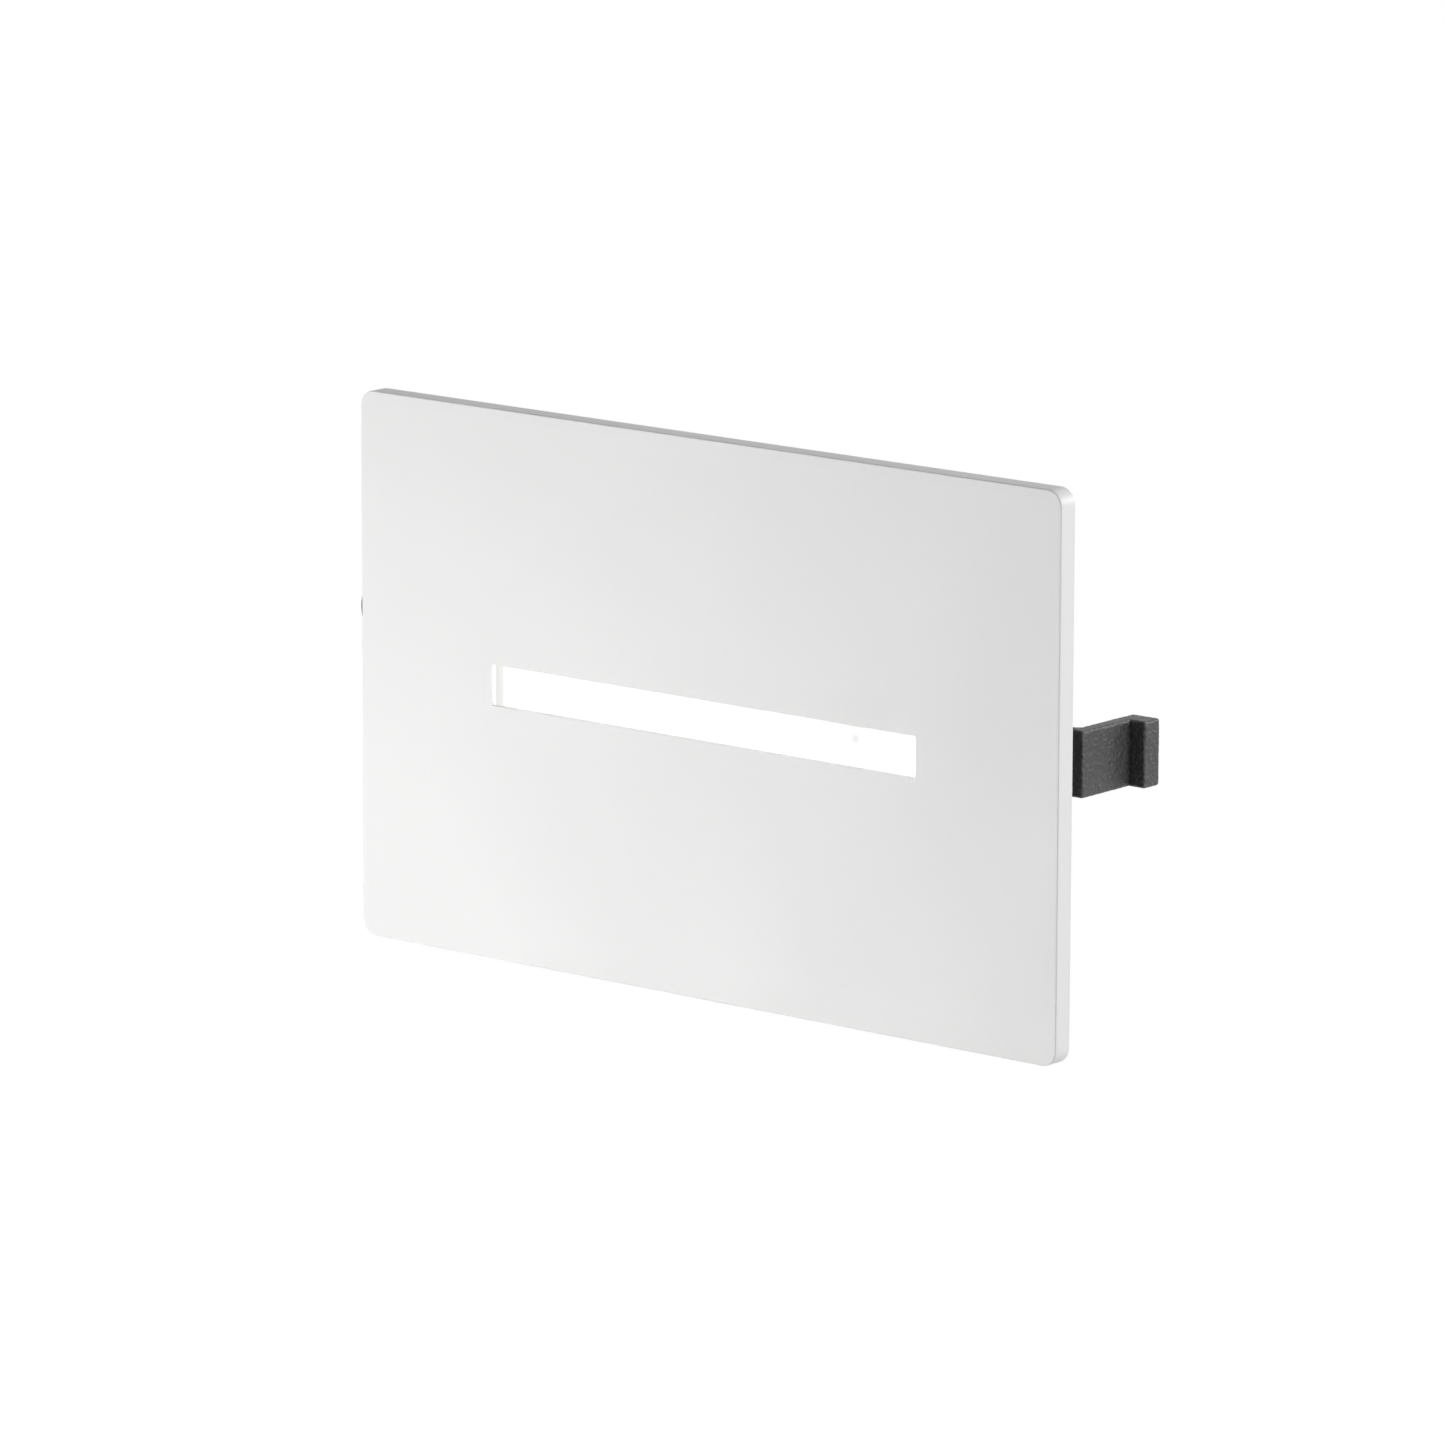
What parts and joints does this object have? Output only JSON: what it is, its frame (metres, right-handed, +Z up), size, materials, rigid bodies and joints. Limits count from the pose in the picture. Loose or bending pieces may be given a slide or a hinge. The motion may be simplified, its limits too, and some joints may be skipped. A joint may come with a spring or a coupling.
{
  "type": "led step light",
  "caption": "Recessed wall step light: a white face plate with a long opal window on a cast frame, a driver box behind it, and a hook clip and a sprung arm that hold it in a wall cut-out.",
  "frame": {"origin": "middle of the wall cut-out on the wall's surface, behind the middle of the face plate", "axes": "+X to the right as seen from the room, +Y into the wall, +Z up"},
  "size_m": [0.1475, 0.0374, 0.076],
  "materials": {
    "white_coat": "satin powder coat",
    "opal": "satin opal, lit from behind",
    "foam": "closed-cell foam",
    "silicone": "matt",
    "cast_alloy": "as cast",
    "white_plastic": "satin",
    "board_white": "solder mask",
    "pad_grey": "matt",
    "phosphor": "satin",
    "sensor_dark": "clear dome",
    "box_plastic": "fine spark texture",
    "board_green": "solder mask",
    "ferrite": "matt",
    "tape": "polyester tape",
    "sleeve_blue": "shrink sleeve",
    "film_red": "dipped resin",
    "mould_black": "moulded resin",
    "nickel": "nickel plated",
    "terminal_green": "moulded",
    "lead_white": "insulation",
    "zinc_steel": "bright zinc",
    "hook_black": "fine textured powder coat",
    "spring_steel": "oiled wire",
    "black_steel": "black phosphate",
    "tip_rubber": "matt"
  },
  "bodies": {
    "base": {"face_plate": "white_coat", "face_gasket": "foam", "diffuser_lens": "opal", "lens_seal": "silicone", "back_frame": "cast_alloy", "plate_screw_1": "zinc_steel", "plate_screw_2": "zinc_steel", "plate_screw_3": "zinc_steel", "plate_screw_4": "zinc_steel", "reflector": "white_plastic", "led_board": "board_white", "thermal_pad": "pad_grey", "led_chip_1": "phosphor", "led_chip_2": "phosphor", "led_chip_3": "phosphor", "led_chip_4": "phosphor", "led_chip_5": "phosphor", "led_chip_6": "phosphor", "led_chip_7": "phosphor", "led_chip_8": "phosphor", "light_sensor": "sensor_dark", "led_board_screw_1": "zinc_steel", "led_board_screw_2": "zinc_steel", "led_lead": "lead_white", "driver_housing": "box_plastic", "housing_screw_1": "zinc_steel", "housing_screw_2": "zinc_steel", "housing_screw_3": "zinc_steel", "housing_screw_4": "zinc_steel", "driver_board": "board_green", "board_screw_1": "zinc_steel", "board_screw_2": "zinc_steel", "transformer_core": "ferrite", "transformer_winding": "tape", "bulk_capacitor": "sleeve_blue", "film_capacitor": "film_red", "bridge_rectifier": "mould_black", "fuse": "nickel", "choke": "ferrite", "terminal_block": "terminal_green", "terminal_screw_1": "nickel", "terminal_screw_2": "nickel", "rear_gasket": "foam", "rear_cover": "box_plastic", "cover_screw_1": "zinc_steel", "cover_screw_2": "zinc_steel", "cover_screw_3": "zinc_steel", "cover_screw_4": "zinc_steel", "cable_grommet": "foam", "hook_clip": "hook_black", "hook_screw_1": "zinc_steel", "hook_screw_2": "zinc_steel", "spring_bracket": "zinc_steel", "bracket_screw_1": "zinc_steel", "bracket_screw_2": "zinc_steel", "hinge_pin": "zinc_steel", "torsion_spring": "spring_steel"},
    "sprung_arm": {"spring_arm": "black_steel", "arm_tip": "tip_rubber"}
  },
  "joints": [
    {"name": "spring_arm_pivot", "type": "hinge", "parent": "base", "child": "sprung_arm", "pos_m": [-0.0505, 0.0125, 0], "axis": [0, 0, 1], "range_deg": [-60, 0], "stiffness_Nm_per_rad": 0.03, "springref_deg": 57.3, "deforming": ["torsion_spring"]}
  ]
}
